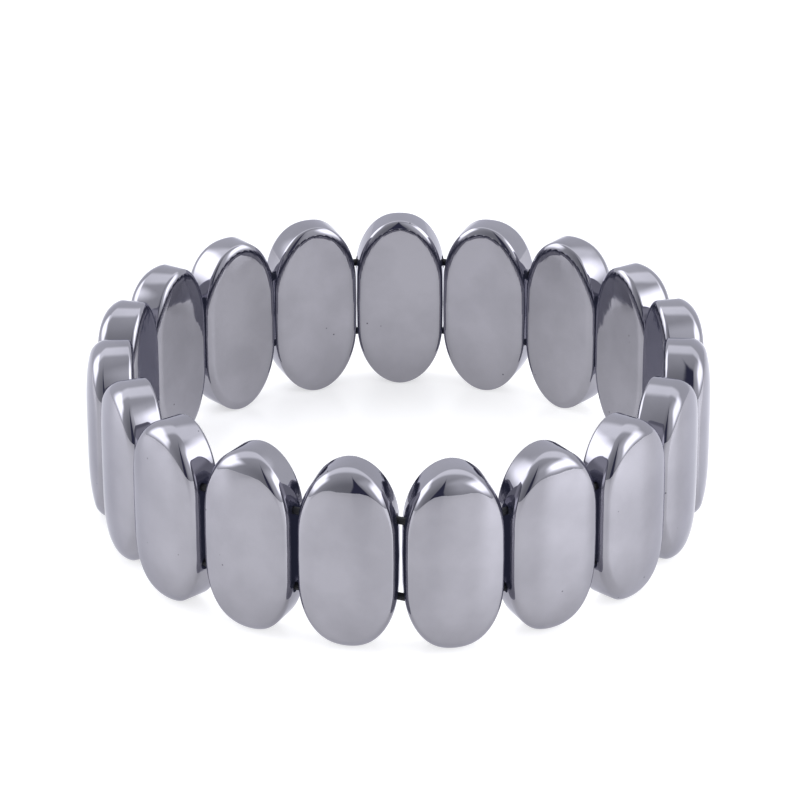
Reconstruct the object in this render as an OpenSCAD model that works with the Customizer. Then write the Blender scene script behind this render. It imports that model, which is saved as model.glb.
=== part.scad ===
// Stretch bracelet: flat oval stone beads standing side by side on two elastic cords.
// Millimetres. The ring's axis is Z, the beads stand on z = 0 and the front of the ring faces -Y.

/* [Bead] */

// width of a bead, along the ring
bead_w = 9.9; // [9.6:0.1:11]
// height of a bead, standing
bead_h = 20.3; // [18:0.1:23]
// thickness of a bead at the middle of its outer face
bead_t = 5.2; // [4.6:0.1:6]
// rounding between the flat inner face and the side wall
inner_edge_r = 0.8; // [0.5:0.1:1]
// rounding between the side wall and the domed outer face
outer_edge_r = 1.5; // [1:0.1:1.8]
// radius of the shallow dome round the rim of the outer face
dome_r = 10; // [8:0.5:10]

/* [Ring] */

// gap between neighbouring beads
bead_gap = 0.14; // [0.14:0.01:0.4]
// how far the front and back stand out, and the sides stand in, from a true circle
oval_out = 0.9; // [0:0.1:1]

/* [Cords] */

// diameter of one elastic cord
cord_d = 0.8; // [0.6:0.1:0.9]
// diameter of a drilled hole
hole_d = 1.4; // [1.4:0.1:1.6]
// height of each cord above or below the middle of the beads
cord_z = 4.3; // [3.5:0.1:5]
// depth of the holes behind the inner face
hole_depth = 2.3; // [2:0.1:2.6]

/* [Hidden] */

$fn = 64;

// How far each bead sits out of line with the others, from the one just right of the front gap
// round to the one just left of it.
set_out = [0.4, -0.1, 0.1,             // right front
           -0.3, -0.2, 0.2, 0.3,       // right side
           0.1, -0.2, 0.1, -0.1, 0,    // back
           0.2, 0, 0.1, -0.2,          // left side
           0.3, -0.2, -0.1];           // left front
bead_count = len(set_out);

// The outline is two side arcs and two end arcs. The line through the centres of a side arc and an
// end arc is the long side of an 11:60:61 triangle, so the arcs meet without a corner.
half_w = bead_w / 2;
end_y = 11 / 20 * (bead_h - bead_w);
side_x = 60 / 11 * end_y;
end_r = bead_h / 2 - end_y;
side_r = half_w + side_x;

// The section of the rim, by distance in from the outline and height above the inner face. The
// outer rounding turns into the dome on the long side of a 7:24:25 triangle, and the dome ends
// level at crown_in.
dome_sin = 7 / 25;
dome_cos = 24 / 25;
round_z = bead_t - dome_r + (dome_r - outer_edge_r) * dome_cos;
meet_in = outer_edge_r * (1 - dome_sin);
crown_in = outer_edge_r + (dome_r - outer_edge_r) * dome_sin;

// The ring is a closed chain of straight lines, one along each bead where its side walls begin.
// A bead that stands out of line takes a shorter line, so that the gaps stay even.
share_w = (bead_w + bead_gap) / 2;
half_step = 180 / bead_count;
ring_r = share_w / tan(half_step);
// On the curve r = ring_r + oval_out * cos(2 * angle) the outward direction leads the angle by this
// much at most.
oval_swing = 1.5 * oval_out / ring_r * 180 / PI;
function even_turn(k) = (2 * k - 1) * half_step;
function turn(k) = even_turn(k) + oval_swing * sin(2 * even_turn(k));
function along(k) = [cos(turn(k)), sin(turn(k))];
function outward(k) = [sin(turn(k)), -cos(turn(k))];
function line(k) = 2 * (share_w - set_out[k - 1] * tan(half_step)) * along(k);
function line_sum(k) = k < 1 ? [0, 0] : line(k) + line_sum(k - 1);
slip = line_sum(bead_count) / bead_count;
function chain_middle(k) = line_sum(k - 1) + line(k) / 2 - (k - 0.5) * slip;
function middle_sum(k) = k < 1 ? [0, 0] : chain_middle(k) + middle_sum(k - 1);
ring_centre = middle_sum(bead_count) / bead_count;
// The middle of a bead's inner face, seen from above.
function seat(k) = chain_middle(k) - ring_centre + (set_out[k - 1] - inner_edge_r) * outward(k);

// The cord's corners: one at each mouth of every hole, in order round the ring.
mouth_x = side_r * cos(asin(cord_z / side_r)) - side_x;
corners = [for (k = [1 : bead_count], mouth = [-mouth_x, mouth_x])
    seat(k) + hole_depth * outward(k) + mouth * along(k)];
corner_count = len(corners);
function heading(i) = let (step = corners[(i + 1) % corner_count] - corners[i]) atan2(step.y, step.x);
cord_sides = 12;

// How far a cutting block reaches past the shape that it cuts.
past = 1;

// A block of the section plane between two corners.
module block(low, high) { translate(low) square(high - low); }

// Half a section through the bead: x is the distance from the arc's centre, y the height above the
// inner face. Each rounding is part of a circle, and straight blocks fill between.
module half_section(outline_r) {
    crown_x = outline_r - crown_in;
    meet_x = outline_r - meet_in;
    block([0, 0], [outline_r - inner_edge_r, inner_edge_r]);
    intersection() {
        translate([outline_r - inner_edge_r, inner_edge_r]) circle(r = inner_edge_r);
        block([outline_r - inner_edge_r, -past], [outline_r + past, inner_edge_r]);
    }
    block([0, inner_edge_r], [outline_r, round_z]);
    intersection() {
        translate([outline_r - outer_edge_r, round_z]) circle(r = outer_edge_r);
        block([meet_x, round_z], [outline_r + past, bead_t + past]);
    }
    intersection() {
        translate([crown_x, bead_t - dome_r]) circle(r = dome_r);
        block([crown_x, round_z], [meet_x, bead_t + past]);
    }
    block([0, round_z], [crown_x, bead_t]);
}

// A round disc with the bead's section, cut to the part of the bead that it makes.
module disc_part(middle, outline_r, region) {
    intersection() {
        translate(middle) rotate_extrude() half_section(outline_r);
        translate([0, 0, -past]) linear_extrude(bead_t + 2 * past) polygon(region);
    }
}

// One bead lying on its inner face, its length along Y. Each side part ends on the two lines
// through its arc's centre and the end arcs' centres, drawn on past the outline.
module bead_body() {
    far_x = 0.2 * side_x;
    far_y = 1.2 * end_y;
    for (side = [0, 180])
        rotate([0, 0, side]) {
            disc_part([-side_x, 0, 0], side_r,
                      [[0, -end_y], [far_x, -far_y], [far_x, far_y], [0, end_y]]);
            disc_part([0, end_y, 0], end_r,
                      [[0, end_y], [far_x, far_y], [far_x, bead_h], [-far_x, bead_h], [-far_x, far_y]]);
        }
}

module hole(y) {
    translate([-bead_w, y, hole_depth]) rotate([0, 90, 0]) cylinder(h = 2 * bead_w, d = hole_d);
}

module bead(k) {
    color([0.53, 0.53, 0.58])
        translate([seat(k).x, seat(k).y, bead_h / 2])
            rotate([0, 0, turn(k)])
                rotate([90, 0, 0])
                    difference() {
                        bead_body();
                        for (y = [-cord_z, cord_z]) hole(y);
                    }
}

// A closed loop of round cord: straight through every hole and straight across every gap, with
// one ring of points at each corner, in the plane that halves the bend.
module cord(z) {
    points = [for (i = [0 : corner_count - 1], j = [0 : cord_sides - 1])
        let (before = heading((i + corner_count - 1) % corner_count),
             bend = (heading(i) - before + 540) % 360 - 180,
             across = [sin(before + bend / 2), -cos(before + bend / 2)] / cos(bend / 2),
             flat = corners[i] + cord_d / 2 * cos(j * 360 / cord_sides) * across)
        [flat.x, flat.y, cord_d / 2 * sin(j * 360 / cord_sides)]];
    faces = [for (i = [0 : corner_count - 1], j = [0 : cord_sides - 1])
        let (next_i = (i + 1) % corner_count, next_j = (j + 1) % cord_sides)
        [i * cord_sides + j, next_i * cord_sides + j,
         next_i * cord_sides + next_j, i * cord_sides + next_j]];
    color([0.03, 0.03, 0.035]) translate([0, 0, z]) polyhedron(points, faces);
}

bead(1);  // bead_01
bead(2);  // bead_02
bead(3);  // bead_03
bead(4);  // bead_04
bead(5);  // bead_05
bead(6);  // bead_06
bead(7);  // bead_07
bead(8);  // bead_08
bead(9);  // bead_09
bead(10);  // bead_10
bead(11);  // bead_11
bead(12);  // bead_12
bead(13);  // bead_13
bead(14);  // bead_14
bead(15);  // bead_15
bead(16);  // bead_16
bead(17);  // bead_17
bead(18);  // bead_18
bead(19);  // bead_19
cord(bead_h / 2 + cord_z);  // upper_cord
cord(bead_h / 2 - cord_z);  // lower_cord
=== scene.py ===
"""A stretch bracelet: flat oval beads of polished grey stone, side by side on two black elastic cords.

Everything is in metres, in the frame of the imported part: the ring's axis is +Z, the beads stand on
z = 0 and the front of the ring faces -Y.
"""

import logging
import math
from dataclasses import dataclass, field
from enum import Enum

import bpy
from mathutils import Matrix, Vector


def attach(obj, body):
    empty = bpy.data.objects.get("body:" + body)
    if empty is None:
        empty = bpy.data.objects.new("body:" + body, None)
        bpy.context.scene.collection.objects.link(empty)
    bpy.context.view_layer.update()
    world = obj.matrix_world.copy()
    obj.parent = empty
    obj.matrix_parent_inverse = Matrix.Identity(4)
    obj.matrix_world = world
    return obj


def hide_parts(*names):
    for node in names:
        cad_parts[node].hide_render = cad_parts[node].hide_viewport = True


LOG = logging.getLogger("bracelet")
MM = 0.001
TINY = 0.001 * MM
BODY = "root"
UP = Vector((0, 0, 1))
FRONT = Vector((0, -1, 0))
RIGHT = Vector((1, 0, 0))

# A softbox, and the gap in front, fade in while the part of a direction that lies toward them goes
# from none to this, so that they don't show on the other side as well
AHEAD_PART = 0.1

Colour = tuple[float, float, float]
Rgba = tuple[float, float, float, float]
Socket = bpy.types.NodeSocket

WHITE: Colour = (1.0, 1.0, 1.0)

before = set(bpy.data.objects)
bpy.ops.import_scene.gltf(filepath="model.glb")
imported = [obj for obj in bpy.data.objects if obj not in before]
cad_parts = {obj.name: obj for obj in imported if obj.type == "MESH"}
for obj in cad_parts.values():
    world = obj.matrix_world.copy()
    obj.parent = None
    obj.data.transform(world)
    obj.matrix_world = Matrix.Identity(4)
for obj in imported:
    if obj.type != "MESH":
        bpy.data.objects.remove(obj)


class Slot(Enum):
    """The record's material slots."""

    STONE = "polished_stone"
    ELASTIC = "black_elastic"


class Passage(Enum):
    """How a number passes from its first value to its last."""

    EVEN = "LINEAR"
    SMOOTH = "SMOOTHSTEP"


class RampShape(Enum):
    """How a colour ramp runs from stop to stop."""

    STRAIGHT = "LINEAR"
    ROUNDED = "B_SPLINE"


class Mixing(Enum):
    """How two colours are brought together."""

    BLEND = "MIX"
    MULTIPLY = "MULTIPLY"


class Operation(Enum):
    """What is worked out from one, two or three numbers."""

    ADD = "ADD"
    SUBTRACT = "SUBTRACT"
    MULTIPLY = "MULTIPLY"
    MULTIPLY_ADD = "MULTIPLY_ADD"
    ABSOLUTE = "ABSOLUTE"
    ARCTAN2 = "ARCTAN2"
    GREATER_THAN = "GREATER_THAN"


def deselect_all() -> None:
    """Deselect every object."""
    bpy.ops.object.select_all(action="DESELECT")


def select_only(piece: bpy.types.Object) -> None:
    """Make a piece the active object and the only selected one.

    Args:
        piece: The object.
    """
    deselect_all()
    piece.select_set(True)
    bpy.context.view_layer.objects.active = piece


def start_edit(piece: bpy.types.Object) -> None:
    """Open a piece in edit mode, to work on its vertices.

    Args:
        piece: The mesh object to edit.
    """
    select_only(piece)
    bpy.ops.object.mode_set(mode="EDIT")
    bpy.ops.mesh.select_mode(type="VERT")


def end_edit() -> None:
    """Leave edit mode."""
    bpy.ops.object.mode_set(mode="OBJECT")


def select_between(piece: bpy.types.Object, axis: Vector, low: float, high: float) -> None:
    """Select the vertices of the piece in edit mode that lie between two limits along an axis.

    Args:
        piece: The mesh object in edit mode.
        axis: The direction that the limits are measured along.
        low: The lower limit.
        high: The upper limit.
    """
    end_edit()
    mesh = piece.data
    for vertex in mesh.vertices:
        vertex.select = low < vertex.co.dot(axis) < high
    for edge in mesh.edges:
        edge.select = all(mesh.vertices[i].select for i in edge.vertices)
    for polygon in mesh.polygons:
        polygon.select = all(mesh.vertices[i].select for i in polygon.vertices)
    bpy.ops.object.mode_set(mode="EDIT")


def opaque(colour: Colour, share: float = 1.0) -> Rgba:
    """Return a share of a colour, with full cover."""
    return (*[share * part for part in colour], 1.0)


@dataclass(frozen=True)
class Fade:
    """A number that passes from one value to another while a second number runs from start to end."""

    start: float
    end: float
    before: float = 1.0
    after: float = 0.0
    passage: Passage = Passage.SMOOTH


@dataclass(frozen=True)
class Wiring:
    """A node tree that is being put together."""

    tree: bpy.types.NodeTree

    def put(self, socket: Socket, value: Socket | Vector | Rgba | float) -> None:
        """Give a socket its value.

        Args:
            socket: The socket that takes the value.
            value: Another node's socket, which is linked, or a number, a colour or a direction.
        """
        if isinstance(value, bpy.types.NodeSocket):
            self.tree.links.new(value, socket)
        else:
            socket.default_value = value

    def place(self) -> Socket:
        """Add the place on the piece, in metres."""
        return self.tree.nodes.new("ShaderNodeTexCoord").outputs["Object"]

    def direction(self) -> Socket:
        """Add the direction that a world is seen in."""
        return self.tree.nodes.new("ShaderNodeTexCoord").outputs["Generated"]

    def noise(self, place: Socket, scale: float, detail: float) -> Socket:
        """Add a noise texture.

        Args:
            place: The place on the piece.
            scale: The scale of the noise, per metre.
            detail: How many finer layers it has.

        Returns:
            The noise, from 0 to 1.
        """
        node = self.tree.nodes.new("ShaderNodeTexNoise")
        self.put(node.inputs["Vector"], place)
        self.put(node.inputs["Scale"], scale)
        self.put(node.inputs["Detail"], detail)
        return node.outputs["Fac"]

    def calculate(self, operation: Operation, *values: Socket | float) -> Socket:
        """Add a number worked out from others.

        Args:
            operation: What is worked out.
            values: The numbers that it takes, in order.

        Returns:
            The result.
        """
        node = self.tree.nodes.new("ShaderNodeMath")
        node.operation = operation.value
        for socket, value in zip(node.inputs, values):
            self.put(socket, value)
        return node.outputs[0]

    def along(self, direction: Socket, axis: Vector) -> Socket:
        """Add the part of a direction or place that lies along an axis.

        Args:
            direction: The direction or place.
            axis: The axis.

        Returns:
            The dot product of the two.
        """
        node = self.tree.nodes.new("ShaderNodeVectorMath")
        node.operation = "DOT_PRODUCT"
        self.put(node.inputs[0], direction)
        self.put(node.inputs[1], axis)
        return node.outputs["Value"]

    def length(self, place: Socket) -> Socket:
        """Add the distance of a place from the origin.

        Args:
            place: The place.

        Returns:
            The distance.
        """
        node = self.tree.nodes.new("ShaderNodeVectorMath")
        node.operation = "LENGTH"
        self.put(node.inputs[0], place)
        return node.outputs["Value"]

    def fade(self, value: Socket, fade: Fade) -> Socket:
        """Add a number that passes from one value to another.

        Args:
            value: The number that runs from the fade's start to its end.
            fade: The fade.

        Returns:
            The number that passes.
        """
        node = self.tree.nodes.new("ShaderNodeMapRange")
        node.interpolation_type = fade.passage.value
        self.put(node.inputs["Value"], value)
        self.put(node.inputs["From Min"], fade.start)
        self.put(node.inputs["From Max"], fade.end)
        self.put(node.inputs["To Min"], fade.before)
        self.put(node.inputs["To Max"], fade.after)
        return node.outputs["Result"]

    def ramp(
        self, value: Socket, stops: list[tuple[float, Rgba]], shape: RampShape = RampShape.STRAIGHT
    ) -> Socket:
        """Add a colour that follows a number through two or more stops.

        Args:
            value: The number.
            stops: The number and the colour of each stop, in order.
            shape: How the colour runs from stop to stop.

        Returns:
            The colour.
        """
        node = self.tree.nodes.new("ShaderNodeValToRGB")
        node.color_ramp.interpolation = shape.value
        elements = node.color_ramp.elements
        first, *middle, last = stops
        for element, (position, colour) in zip(elements, (first, last)):
            element.position = position
            element.color = colour
        for position, colour in middle:
            elements.new(position).color = colour
        self.put(node.inputs["Fac"], value)
        return node.outputs["Color"]

    def mix(
        self, share: Socket | float, first: Socket | Rgba, second: Socket | Rgba,
        mixing: Mixing = Mixing.BLEND,
    ) -> Socket:
        """Add a mix of two colours.

        Several sockets of the node have the same name, so those for colours are taken by number.

        Args:
            share: The share of the second colour.
            first: The first colour.
            second: The second colour.
            mixing: How the second colour acts on the first.

        Returns:
            The mixed colour.
        """
        node = self.tree.nodes.new("ShaderNodeMix")
        node.data_type = "RGBA"
        node.blend_type = mixing.value
        share_input, first_input, second_input = node.inputs[0], node.inputs[6], node.inputs[7]
        self.put(share_input, share)
        self.put(first_input, first)
        self.put(second_input, second)
        return node.outputs[2]


def start_finish(name: str) -> tuple[bpy.types.Material, bpy.types.Node, Wiring]:
    """Start a node material.

    Args:
        name: The material's name.

    Returns:
        The material, its shader and its wiring.
    """
    material = bpy.data.materials.new(name)
    material.use_nodes = True
    tree = material.node_tree
    return material, tree.nodes["Principled BSDF"], Wiring(tree)


@dataclass(frozen=True)
class PolishedStone:
    """Mirror-polished hematite: a dark silver mirror with faint clouds, smudges, ripples and pores.

    The veil is a faint glow, which stands for the stray light in the gaps between the beads.
    """

    colour: Colour = (0.29, 0.2845, 0.3095)
    edge_tint: Colour = (0.78, 0.78, 0.83)
    veil: Colour = (0.0095, 0.0103, 0.0187)

    # The clouds: where the noise has which share of the colour, and how rough it makes the polish
    cloud_scale: float = 150.0
    cloud_detail: float = 5.0
    cloud_tones: tuple[tuple[float, float], ...] = ((0.36, 0.9), (0.62, 1.04))
    smudge: Fade = Fade(start=0.35, end=0.68, before=0.018, after=0.066, passage=Passage.EVEN)

    ripple_scale: float = 420.0
    ripple_detail: float = 1.5
    ripple_depth: float = 0.015 * MM

    # The pores: their edge in a cell's own measure, the share of cells without one, and their tone
    pore_scale: float = 620.0
    pore_edge: Fade = Fade(start=0.042, end=0.07, passage=Passage.EVEN)
    pore_free_share: float = 0.72
    pore_tone: float = 0.25

    def material(self) -> bpy.types.Material:
        """Build the finish.

        Returns:
            The node material.
        """
        material, shader, wiring = start_finish(Slot.STONE.value)
        wiring.put(shader.inputs["Metallic"], 1.0)
        wiring.put(shader.inputs["Specular Tint"], opaque(self.edge_tint))
        wiring.put(shader.inputs["Emission Color"], opaque(self.veil))
        wiring.put(shader.inputs["Emission Strength"], 1.0)
        place = wiring.place()
        cloud = wiring.noise(place, self.cloud_scale, self.cloud_detail)
        tones = [(stop, opaque(self.colour, share)) for stop, share in self.cloud_tones]
        clouded = wiring.ramp(cloud, tones)
        pitted = wiring.mix(self.pores(wiring, place), clouded, opaque(self.colour, self.pore_tone))
        wiring.put(shader.inputs["Base Color"], pitted)
        wiring.put(shader.inputs["Roughness"], wiring.fade(cloud, self.smudge))
        bump = wiring.tree.nodes.new("ShaderNodeBump")
        wiring.put(bump.inputs["Distance"], self.ripple_depth)
        wiring.put(bump.inputs["Height"], wiring.noise(place, self.ripple_scale, self.ripple_detail))
        wiring.put(shader.inputs["Normal"], bump.outputs["Normal"])
        return material

    def pores(self, wiring: Wiring, place: Socket) -> Socket:
        """Add the tiny dark pores: a dot in the middle of some cells of a cell texture.

        Args:
            wiring: The material's wiring.
            place: The place on the stone.

        Returns:
            The share of pore, 0 or 1 with a soft edge.
        """
        cells = wiring.tree.nodes.new("ShaderNodeTexVoronoi")
        wiring.put(cells.inputs["Scale"], self.pore_scale)
        wiring.put(cells.inputs["Vector"], place)
        dot = wiring.fade(cells.outputs["Distance"], self.pore_edge)
        has_pore = wiring.calculate(Operation.GREATER_THAN, cells.outputs["Color"], self.pore_free_share)
        return wiring.calculate(Operation.MULTIPLY, dot, has_pore)


@dataclass(frozen=True)
class BlackElastic:
    """Black elastic cord: dark and only slightly glossy, with a fine grain."""

    colour: Colour = (0.006, 0.0065, 0.01)
    roughness: float = 0.6
    grain_scale: float = 2500.0
    grain_detail: float = 2.0
    grain_tones: tuple[tuple[float, float], ...] = ((0.0, 0.6), (1.0, 1.6))

    def material(self) -> bpy.types.Material:
        """Build the finish.

        Returns:
            The node material.
        """
        material, shader, wiring = start_finish(Slot.ELASTIC.value)
        grain = wiring.noise(wiring.place(), self.grain_scale, self.grain_detail)
        tones = [(stop, opaque(self.colour, share)) for stop, share in self.grain_tones]
        wiring.put(shader.inputs["Base Color"], wiring.ramp(grain, tones))
        wiring.put(shader.inputs["Roughness"], self.roughness)
        return material


@dataclass(frozen=True)
class PaleTable:
    """The table's finish: pale and plain, with painted light: its colour is dimmer far away, a painted
    fall-off of the light, and it has a painted glow, stronger to the front right, where it also has more
    gloss.
    """

    roughness: float = 0.25
    # Painted fall-off of the light: the colour darkens with distance from the middle
    paleness_with_painted_falloff: Fade = Fade(start=0.05, end=0.45, before=0.56, after=0.42)
    # Painted glow: the table glows everywhere, more toward the front right, as if lit more from there
    glow: Fade = Fade(start=-0.06, end=0.0, before=0.47, after=0.66)
    gloss: Fade = Fade(start=0.02, end=0.075, before=0.2, after=1.0)

    def material(self) -> bpy.types.Material:
        """Build the finish.

        Returns:
            The node material.
        """
        material, shader, wiring = start_finish("floor")
        wiring.put(shader.inputs["Roughness"], self.roughness)
        wiring.put(shader.inputs["Emission Color"], opaque(WHITE))
        place = wiring.place()
        toward_corner = wiring.along(place, FRONT + RIGHT)
        # Painted light: the colour darkens far away and the glow grows toward the front right
        wiring.put(shader.inputs["Base Color"], wiring.fade(wiring.length(place), self.paleness_with_painted_falloff))
        wiring.put(shader.inputs["Emission Strength"], wiring.fade(toward_corner, self.glow))
        wiring.put(shader.inputs["Specular IOR Level"], wiring.fade(toward_corner, self.gloss))
        return material


@dataclass
class Seat:
    """Where one bead stands: the middle of its flat inner face and the directions round it."""

    middle: Vector
    along: Vector
    outward: Vector

    @classmethod
    def of_node(cls, node: str, digits: int = 3) -> "Seat":
        """Find the seat of a CAD bead from its flat inner face, the largest of its flat faces.

        Args:
            node: The bead's node name.
            digits: How many digits of two normals agree within one flat face.

        Returns:
            The seat, in the part's frame.
        """
        areas: dict[tuple[float, ...], float] = {}
        middles: dict[tuple[float, ...], Vector] = {}
        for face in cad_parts[node].data.polygons:
            normal = tuple(round(part, digits) for part in face.normal)
            areas[normal] = areas.get(normal, 0.0) + face.area
            middles[normal] = middles.get(normal, Vector()) + face.area * face.center
        inner = max(areas, key=areas.get)
        outward = -Vector(inner).normalized()
        return cls(middles[inner] / areas[inner], UP.cross(outward), outward)

    def matrix(self) -> Matrix:
        """Return the matrix that stands a bead modelled flat at the origin on this seat."""
        turned = Matrix((self.along, UP, self.outward)).transposed()
        return Matrix.Translation(self.middle) @ turned.to_4x4()


@dataclass(frozen=True)
class Ring:
    """One loop round the bead: its shares of the bead's width and height, and its level."""

    wide: float
    high: float
    level: float


@dataclass
class Bead:
    """One flat oval bead, modelled lying on its inner face with its length along Y.

    Its sides are straight and its ends are half ellipses. The side wall leans in toward the inner
    face, so that neighbours fit round the ring. The outer face is curved and thins toward the rim.
    """

    # The outline
    width: float = 10.25 * MM
    height: float = 20.3 * MM
    thickness: float = 5.2 * MM
    end_length: float = 7.2 * MM

    # The rounding of the outer face: how far it comes in at the sides and at the ends, and how deep it is
    outer_round_side: float = 0.42 * MM
    outer_round_end: float = 1.45 * MM
    outer_round_depth: float = 1.2 * MM

    # How far the side wall leans in, and the rounding of the inner face
    wall_lean: float = 0.24 * MM
    inner_round_side: float = 0.95 * MM
    inner_round_end: float = 1.2 * MM
    inner_round_depth: float = 0.8 * MM

    # A narrow border of the flat inner face, where the shading of its rounding ends
    inner_border: float = 0.15 * MM

    # The curve of the outer face: how far it falls at the ends, and the ellipse that it follows across
    end_drop: float = 1.85 * MM
    end_power: int = 4
    side_drop: float = 3.64 * MM
    side_reach: float = 6.75 * MM

    # How far each side swells at its middle
    side_swell: float = 0.05 * MM

    # The two holes
    hole: float = 1.4 * MM
    hole_level: float = 2.3 * MM
    hole_off: float = 4.3 * MM

    # How finely it is modelled
    side_steps: int = 10
    end_steps: int = 44
    round_steps: int = 10
    face_steps: int = 30
    hole_sides: int = 32

    # Edges sharper than this aren't shaded smooth
    sharp_angle: float = math.radians(35)

    def spin_outline(self) -> bpy.types.Object:
        """Draw the outline as one closed loop: two straight sides and two ends spun from a vertex.

        Returns:
            The object, with the loop selected in edit mode.
        """
        half_width = self.width / 2
        straight = self.height - 2 * self.end_length
        bpy.ops.mesh.primitive_plane_add(size=MM, location=(0, 0, 0))
        bead = bpy.context.object
        start_edit(bead)
        bpy.ops.mesh.select_all(action="SELECT")
        bpy.ops.mesh.merge(type="CENTER")
        bpy.ops.transform.translate(value=(half_width, -straight / 2, 0))
        for end in (1, -1):
            step = (0, end * straight / self.side_steps, 0)
            for _ in range(self.side_steps):
                bpy.ops.mesh.extrude_vertices_move(TRANSFORM_OT_translate={"value": step})
            centre = (0, end * straight / 2, 0)
            bpy.ops.mesh.spin(steps=self.end_steps, angle=math.pi, center=centre, axis=(0, 0, -1))
        bpy.ops.mesh.select_all(action="SELECT")
        bpy.ops.mesh.remove_doubles(threshold=TINY)
        for end in (1, -1):
            select_between(bead, Vector((0, end, 0)), straight / 2 + TINY, self.height)
            bpy.ops.transform.resize(
                value=(1, self.end_length / half_width, 1), center_override=(0, end * straight / 2, 0)
            )
        bpy.ops.mesh.select_all(action="SELECT")
        return bead

    def ring(self, side: float, end: float, level: float) -> Ring:
        """Return the ring that lies inside the outline by a margin at the sides and at the ends."""
        return Ring(1 - side / (self.width / 2), 1 - end / (self.height / 2), level)

    def quarter_round(self) -> list[tuple[float, float]]:
        """List the steps of a rounding, a quarter of a circle with radius 1.

        Returns:
            How far in each step has come from the wall, and how far it still is from the face.
        """
        angles = [math.pi / 2 * step / self.round_steps for step in range(self.round_steps + 1)]
        return [(1 - math.cos(angle), 1 - math.sin(angle)) for angle in angles]

    def outer_rings(self) -> list[Ring]:
        """List the rings from the top of the side wall over the rounding to the middle of the face.

        Returns:
            The rings, with all of the face at one level.
        """
        rings = []
        for inward, away in self.quarter_round():
            level = self.thickness - self.outer_round_depth * away
            rings.append(self.ring(inward * self.outer_round_side, inward * self.outer_round_end, level))
        rim = rings[-1]
        for step in range(1, self.face_steps):
            left = 1 - step / self.face_steps
            rings.append(Ring(rim.wide * left, rim.high * left, rim.level))
        return rings

    def inner_rings(self) -> list[Ring]:
        """List the rings from the foot of the side wall round to the border of the flat inner face.

        Returns:
            The rings.
        """
        rings = []
        for inward, away in self.quarter_round():
            side = self.wall_lean + inward * self.inner_round_side
            rings.append(self.ring(side, inward * self.inner_round_end, self.inner_round_depth * away))
        side = self.wall_lean + self.inner_round_side + self.inner_border
        rings.append(self.ring(side, self.inner_round_end + self.inner_border, 0.0))
        return rings

    def stack(self, rings: list[Ring]) -> None:
        """Extrude the selected loop ring by ring.

        Args:
            rings: The rings. The first is where the selected loop already is.
        """
        for ring, following in zip(rings, rings[1:]):
            bpy.ops.mesh.extrude_edges_move(
                TRANSFORM_OT_translate={"value": (0, 0, following.level - ring.level)}
            )
            bpy.ops.transform.resize(
                value=(following.wide / ring.wide, following.high / ring.high, 1.0),
                center_override=(0, 0, 0),
            )

    def curve(self, bead: bpy.types.Object) -> None:
        """Curve the outer face, which thins the bead toward its rim, and swell its sides a little.

        The outer face is an ellipse's arc across and runs down to the ends in a superellipse. The
        sides swell most at their middle and no more halfway to the ends. No operator follows these
        curves, so each vertex is moved by its place.

        Args:
            bead: The bead, in object mode.
        """
        for vertex in bead.data.vertices:
            end_share = min(1.0, abs(vertex.co.y) / (self.height / 2))
            side_share = vertex.co.x / self.side_reach
            end_drop = self.end_drop * (1 - math.sqrt(1 - end_share ** self.end_power))
            side_drop = self.side_drop * (1 - math.sqrt(1 - side_share ** 2))
            vertex.co.z *= 1 - (end_drop + side_drop) / self.thickness
            vertex.co.x *= 1 + 2 * self.side_swell / self.width * max(0.0, 1 - 2 * end_share) ** 2

    def drill(self, bead: bpy.types.Object) -> None:
        """Drill the two holes for the cords from side to side.

        Args:
            bead: The bead, in object mode.
        """
        for end in (1, -1):
            deselect_all()
            bpy.ops.mesh.primitive_cylinder_add(
                vertices=self.hole_sides, radius=self.hole / 2, depth=2 * self.width,
                location=(0, end * self.hole_off, self.hole_level), rotation=(0, math.pi / 2, 0),
            )
            drill_bit = bpy.context.object
            select_only(bead)
            cut = bead.modifiers.new("hole", "BOOLEAN")
            cut.operation = "DIFFERENCE"
            cut.solver = "EXACT"
            cut.object = drill_bit
            bpy.ops.object.modifier_apply(modifier=cut.name)
            bpy.data.objects.remove(drill_bit)

    def build(self) -> bpy.types.Object:
        """Model the bead.

        Returns:
            The finished bead at the origin.
        """
        bead = self.spin_outline()
        bead.name = "bead_pattern"
        outer = self.outer_rings()
        wall_top = outer[0]
        bpy.ops.transform.translate(value=(0, 0, wall_top.level))
        self.stack(outer)
        bpy.ops.mesh.merge(type="CENTER")
        select_between(bead, UP, wall_top.level - TINY, wall_top.level + TINY)
        self.stack([wall_top, *self.inner_rings()])
        bpy.ops.mesh.edge_face_add()
        bpy.ops.mesh.select_all(action="SELECT")
        bpy.ops.mesh.normals_make_consistent(inside=False)
        end_edit()
        self.curve(bead)
        self.drill(bead)
        bpy.ops.object.shade_smooth_by_angle(angle=self.sharp_angle)
        return bead


@dataclass
class BeadRing:
    """The nineteen beads, each standing in the place of its CAD bead."""

    pattern: Bead = field(default_factory=Bead)
    finish: PolishedStone = field(default_factory=PolishedStone)

    def nodes(self) -> list[str]:
        """Return the names of the CAD beads, in order round the ring."""
        return sorted(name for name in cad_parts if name.startswith("bead_"))

    def build(self) -> None:
        """Model the bead once and stand a copy with its own mesh on every seat."""
        pattern = self.pattern.build()
        material = self.finish.material()
        for node in self.nodes():
            bead = bpy.data.objects.new(f"{node}_polished", pattern.data.copy())
            bpy.context.scene.collection.objects.link(bead)
            bead.data.transform(Seat.of_node(node).matrix())
            bead.data.materials.clear()
            bead.data.materials.append(material)
            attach(bead, BODY)
            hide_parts(node)
            LOG.info("%s: %d faces", bead.name, len(bead.data.polygons))
        bpy.data.objects.remove(pattern)


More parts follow.
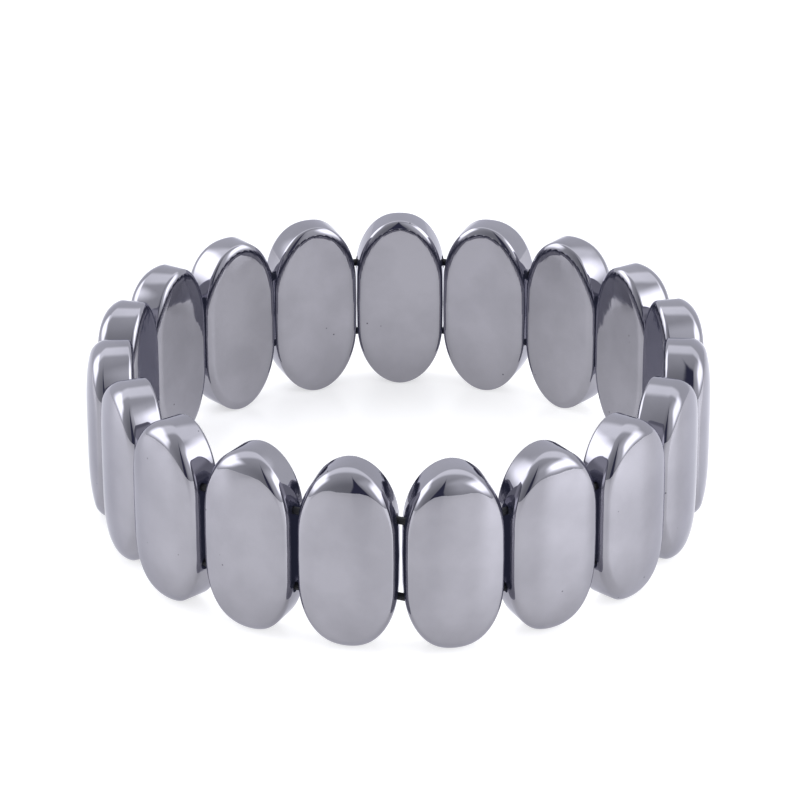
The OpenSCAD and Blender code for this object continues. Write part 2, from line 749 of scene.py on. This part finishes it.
@dataclass
class Cords:
    """The two elastic cords. Their CAD loops keep their shape and get the elastic's finish."""

    nodes: tuple[str, str] = ("upper_cord", "lower_cord")
    finish: BlackElastic = field(default_factory=BlackElastic)

    def build(self) -> None:
        """Give both loops their finish."""
        material = self.finish.material()
        for node in self.nodes:
            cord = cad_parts[node]
            cord.data.materials.clear()
            cord.data.materials.append(material)
            LOG.info("%s: dressed", node)


@dataclass(frozen=True)
class Softbox:
    """A soft bright area of the studio, seen only in the light it gives and in the polished stone.

    Angles are in degrees. Azimuth 0 lies toward the front and 90 toward the right.
    """

    azimuth: float
    elevation: float
    half_width: float
    half_height: float
    soft_edge: float
    radiance: float

    def light(self, wiring: Wiring, toward: Socket) -> Socket:
        """Add the light of the softbox.

        Args:
            wiring: The world's wiring.
            toward: The direction that is looked in.

        Returns:
            Its radiance.
        """
        azimuth, elevation = math.radians(self.azimuth), math.radians(self.elevation)
        level_ahead = math.sin(azimuth) * RIGHT + math.cos(azimuth) * FRONT
        ahead = math.cos(elevation) * level_ahead + math.sin(elevation) * UP
        side = math.cos(azimuth) * RIGHT - math.sin(azimuth) * FRONT
        over = side.cross(ahead)
        ahead_part = wiring.along(toward, ahead)
        light = wiring.fade(ahead_part, Fade(0.0, AHEAD_PART, before=0.0, after=self.radiance))
        for axis, half in ((side, self.half_width), (over, self.half_height)):
            off = wiring.calculate(Operation.ABSOLUTE, wiring.along(toward, axis))
            angle = wiring.calculate(Operation.ARCTAN2, off, ahead_part)
            edge = Fade(math.radians(half), math.radians(half + self.soft_edge))
            light = wiring.calculate(Operation.MULTIPLY, light, wiring.fade(angle, edge))
        return light


@dataclass(frozen=True)
class Surroundings:
    """The studio round the table, as a world: bright behind and dim in front, with four softboxes.

    In front, a dark gap between the softboxes is wide at the table and narrow above. The camera
    itself sees plain white.
    """

    tint: Colour = (0.985, 0.998, 1.055)

    # The light from the back, at 0, to the front, at 1
    sky: tuple[tuple[float, float], ...] = (
        (0.0, 1.0), (0.35, 0.9), (0.55, 0.8), (0.75, 0.62), (0.88, 0.42), (0.95, 0.34), (1.0, 0.32),
    )
    sky_strength: float = 1.12

    softboxes: tuple[Softbox, ...] = (
        Softbox(azimuth=-97, elevation=26, half_width=14, half_height=8, soft_edge=18, radiance=2.8),
        Softbox(azimuth=74, elevation=26, half_width=15, half_height=6, soft_edge=20, radiance=3.0),
        Softbox(azimuth=40, elevation=28, half_width=14, half_height=16, soft_edge=24, radiance=0.55),
        Softbox(azimuth=180, elevation=71, half_width=44, half_height=9, soft_edge=15, radiance=0.85),
    )

    # The dark gap, measured in the parts of a direction that lie to the right and up
    gap_colour: Colour = (0.045, 0.045, 0.085)
    gap_middle: float = -0.05
    gap_spread: float = 0.22
    gap_top: float = 0.93
    gap_edge: Fade = Fade(start=-0.02, end=0.02)

    def build(self) -> None:
        """Make the world and give it to the scene."""
        world = bpy.data.worlds.new("studio")
        world.use_nodes = True
        wiring = Wiring(world.node_tree)
        toward = wiring.direction()
        light = self.sky_light(wiring, toward)
        for softbox in self.softboxes:
            light = wiring.calculate(Operation.ADD, light, softbox.light(wiring, toward))
        tinted = wiring.mix(1.0, opaque(self.tint), light, Mixing.MULTIPLY)
        with_gap = wiring.mix(self.gap(wiring, toward), tinted, opaque(self.gap_colour))
        to_camera = wiring.tree.nodes.new("ShaderNodeLightPath").outputs["Is Camera Ray"]
        seen = wiring.mix(to_camera, with_gap, opaque(WHITE))
        wiring.put(wiring.tree.nodes["Background"].inputs["Color"], seen)
        bpy.context.scene.world = world
        LOG.info("studio: %d softboxes", len(self.softboxes))

    def sky_light(self, wiring: Wiring, toward: Socket) -> Socket:
        """Add the light all round, from the bright back to the dim front.

        Args:
            wiring: The world's wiring.
            toward: The direction that is looked in.

        Returns:
            Its radiance.
        """
        to_front = wiring.calculate(Operation.MULTIPLY_ADD, wiring.along(toward, FRONT), 0.5, 0.5)
        stops = [(position, opaque(WHITE, level)) for position, level in self.sky]
        level = wiring.ramp(to_front, stops, RampShape.ROUNDED)
        return wiring.calculate(Operation.MULTIPLY, level, self.sky_strength)

    def gap(self, wiring: Wiring, toward: Socket) -> Socket:
        """Add the dark gap between the softboxes in front.

        Args:
            wiring: The world's wiring.
            toward: The direction that is looked in.

        Returns:
            The share of the dark colour.
        """
        across = wiring.along(toward, RIGHT)
        off = wiring.calculate(
            Operation.ABSOLUTE, wiring.calculate(Operation.SUBTRACT, across, self.gap_middle)
        )
        below_top = wiring.calculate(Operation.SUBTRACT, self.gap_top, wiring.along(toward, UP))
        half_width = wiring.calculate(Operation.MULTIPLY, below_top, self.gap_spread)
        past_edge = wiring.calculate(Operation.SUBTRACT, off, half_width)
        inside = wiring.fade(past_edge, self.gap_edge)
        ahead = wiring.fade(wiring.along(toward, FRONT), Fade(0.0, AHEAD_PART, before=0.0, after=1.0))
        return wiring.calculate(Operation.MULTIPLY, inside, ahead)


@dataclass
class Studio:
    """The camera, the pale table and the surroundings.

    The camera stands in front, aims at a place a little above the bracelet's middle and is turned
    slightly on its own axis.
    """

    distance: float = 445 * MM
    elevation: float = math.radians(25.51)
    roll: float = math.radians(-0.13)
    lens: float = 185.5
    sensor: float = 36.0
    look_up: float = 1.91 * MM
    middle_height: float = 10.15 * MM
    table_size: float = 6.0
    table_finish: PaleTable = field(default_factory=PaleTable)
    surroundings: Surroundings = field(default_factory=Surroundings)

    def place_camera(self) -> None:
        """Put the camera at the photo's viewing angle."""
        data = bpy.data.cameras.new("camera")
        data.lens = self.lens
        data.sensor_width = self.sensor
        camera = bpy.data.objects.new("camera", data)
        bpy.context.scene.collection.objects.link(camera)
        toward = -math.cos(self.elevation) * FRONT - math.sin(self.elevation) * UP
        over = -math.sin(self.elevation) * FRONT + math.cos(self.elevation) * UP
        middle = self.middle_height * UP
        camera.location = middle - self.distance * toward
        aim = middle + self.look_up * over - camera.location
        camera.rotation_mode = "QUATERNION"
        turned = aim.to_track_quat("-Z", "Y").to_matrix() @ Matrix.Rotation(self.roll, 3, "Z")
        camera.rotation_quaternion = turned.to_quaternion()
        bpy.context.scene.camera = camera

    def lay_table(self) -> None:
        """Lay the pale table under the bracelet."""
        bpy.ops.mesh.primitive_plane_add(size=self.table_size, location=(0, 0, 0))
        floor = bpy.context.object
        floor.name = "floor"
        floor.data.materials.append(self.table_finish.material())
        LOG.info("%s: laid", floor.name)

    def build(self) -> None:
        """Lay the table, light it and keep the colours as they are lit."""
        self.lay_table()
        self.surroundings.build()
        bpy.context.scene.view_settings.view_transform = "Standard"


def main() -> None:
    """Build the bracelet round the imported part."""
    logging.basicConfig(level=logging.INFO, format="%(message)s")
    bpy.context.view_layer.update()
    studio = Studio()
    studio.place_camera()
    BeadRing().build()
    Cords().build()
    studio.build()


if __name__ == "__main__":
    main()
